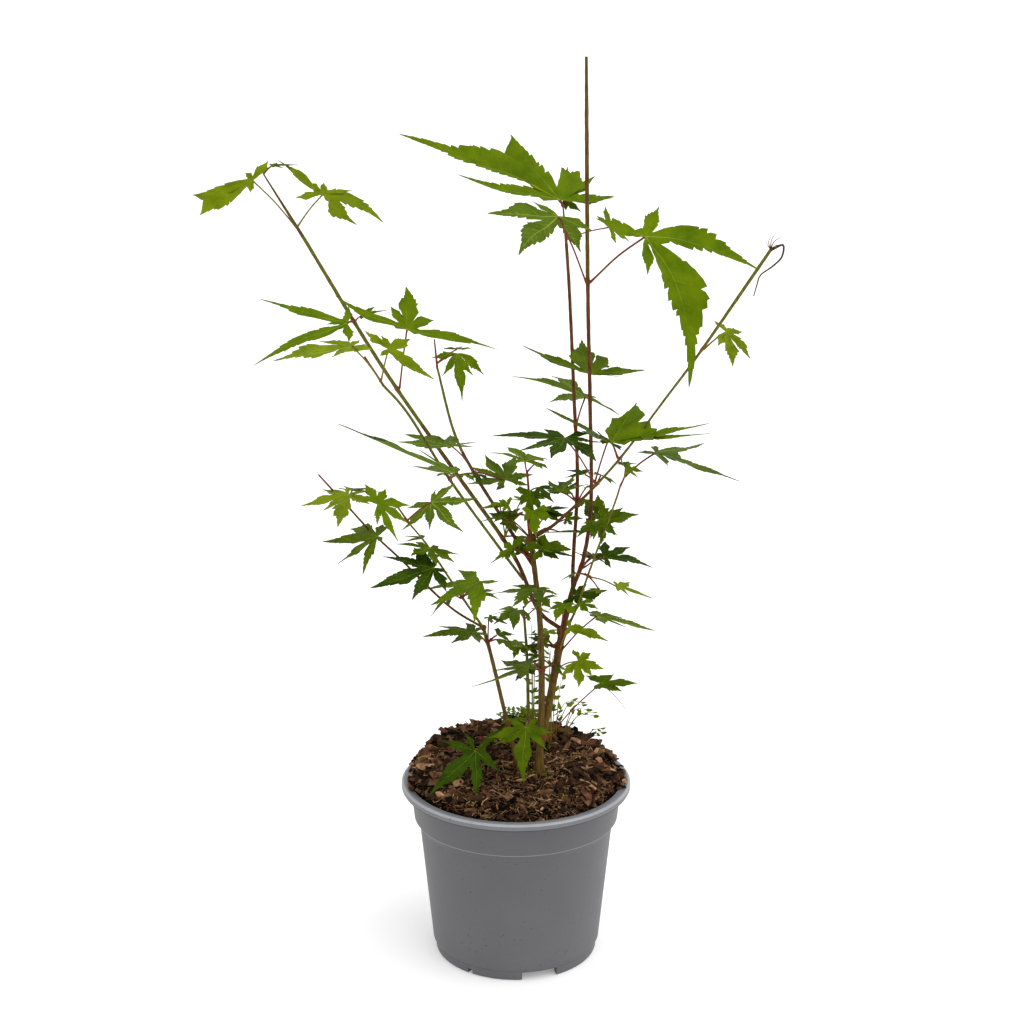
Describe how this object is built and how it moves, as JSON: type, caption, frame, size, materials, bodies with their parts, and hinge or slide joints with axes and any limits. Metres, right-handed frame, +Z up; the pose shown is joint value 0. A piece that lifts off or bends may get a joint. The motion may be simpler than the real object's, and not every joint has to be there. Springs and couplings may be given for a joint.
{
  "type": "potted japanese maple",
  "caption": "Young multi-stemmed japanese maple with palmate toothed leaves on slender upright shoots, in a round tapered grey nursery pot filled with bark mix.",
  "frame": {"origin": "middle of the pot's flat underside, on the surface it stands on", "axes": "+Z up the pot's axis towards the tip of the leader, -Y the plant's front, +X its right"},
  "size_m": [0.4575, 0.323, 0.735],
  "materials": {
    "pot_plastic": "satin grey, moulded polypropylene",
    "bark_mix": "rough, moist bark chips and peat",
    "bark_brown": "smooth brown bark",
    "bark_olive": "smooth green shoot",
    "bark_red": "smooth reddish shoot",
    "leaf_fresh": "matte green leaf",
    "leaf_mid": "matte green leaf",
    "leaf_deep": "matte dark green leaf",
    "leaf_lime": "matte yellow-green leaf",
    "leaf_gold": "matte yellow-brown leaf",
    "dry_wisp": "dry, withered"
  },
  "bodies": {
    "root": {"crown_leaves": "leaf_fresh", "foot_front_leaves": "leaf_mid", "foot_left_leaves": "leaf_deep", "foot_right_leaves": "leaf_mid", "heart_leaves": "leaf_deep", "inner_middle_leaves": "leaf_lime", "inner_stem": "bark_olive", "inner_top_leaves": "leaf_gold", "leader": "bark_olive", "leader_foot_leaves": "leaf_deep", "leader_leaves": "leaf_fresh", "leader_lower_leaves": "leaf_deep", "leader_middle_leaves": "leaf_mid", "left_back_bough": "bark_red", "left_back_leaves": "leaf_mid", "left_bough": "bark_olive", "left_foot_leaves": "leaf_lime", "left_front_bough": "bark_olive", "left_front_leaves": "leaf_lime", "left_inner_leaves": "leaf_deep", "left_lower_leaves": "leaf_fresh", "left_tip_leaves": "leaf_fresh", "left_upper_leaves": "leaf_fresh", "low_left_far_leaves": "leaf_mid", "low_left_inner_bough": "bark_olive", "low_left_inner_leaves": "leaf_lime", "low_left_leaves": "leaf_mid", "low_left_middle_leaves": "leaf_mid", "low_left_outer_bough": "bark_red", "low_left_outer_leaves": "leaf_deep", "low_left_stem": "bark_brown", "low_left_tip_leaves": "leaf_lime", "low_left_upper_leaves": "leaf_deep", "middle_back_leaves": "leaf_mid", "pot": "pot_plastic", "right_bough": "bark_olive", "right_front_bough": "bark_olive", "right_front_leaves": "leaf_mid", "right_inner_leaves": "leaf_deep", "right_low_leaves": "leaf_lime", "right_middle_leaves": "leaf_mid", "right_tip_wisp": "dry_wisp", "right_upper_leaves": "leaf_fresh", "second_leader": "bark_red", "second_lower_leaves": "leaf_deep", "second_middle_leaves": "leaf_mid", "soil": "bark_mix", "trunk": "bark_brown", "trunk_lower_leaves": "leaf_mid", "trunk_middle_leaves": "leaf_deep", "trunk_right_leaves": "leaf_lime", "trunk_top_leaves": "leaf_deep", "trunk_upper_leaves": "leaf_deep"}
  },
  "joints": []
}
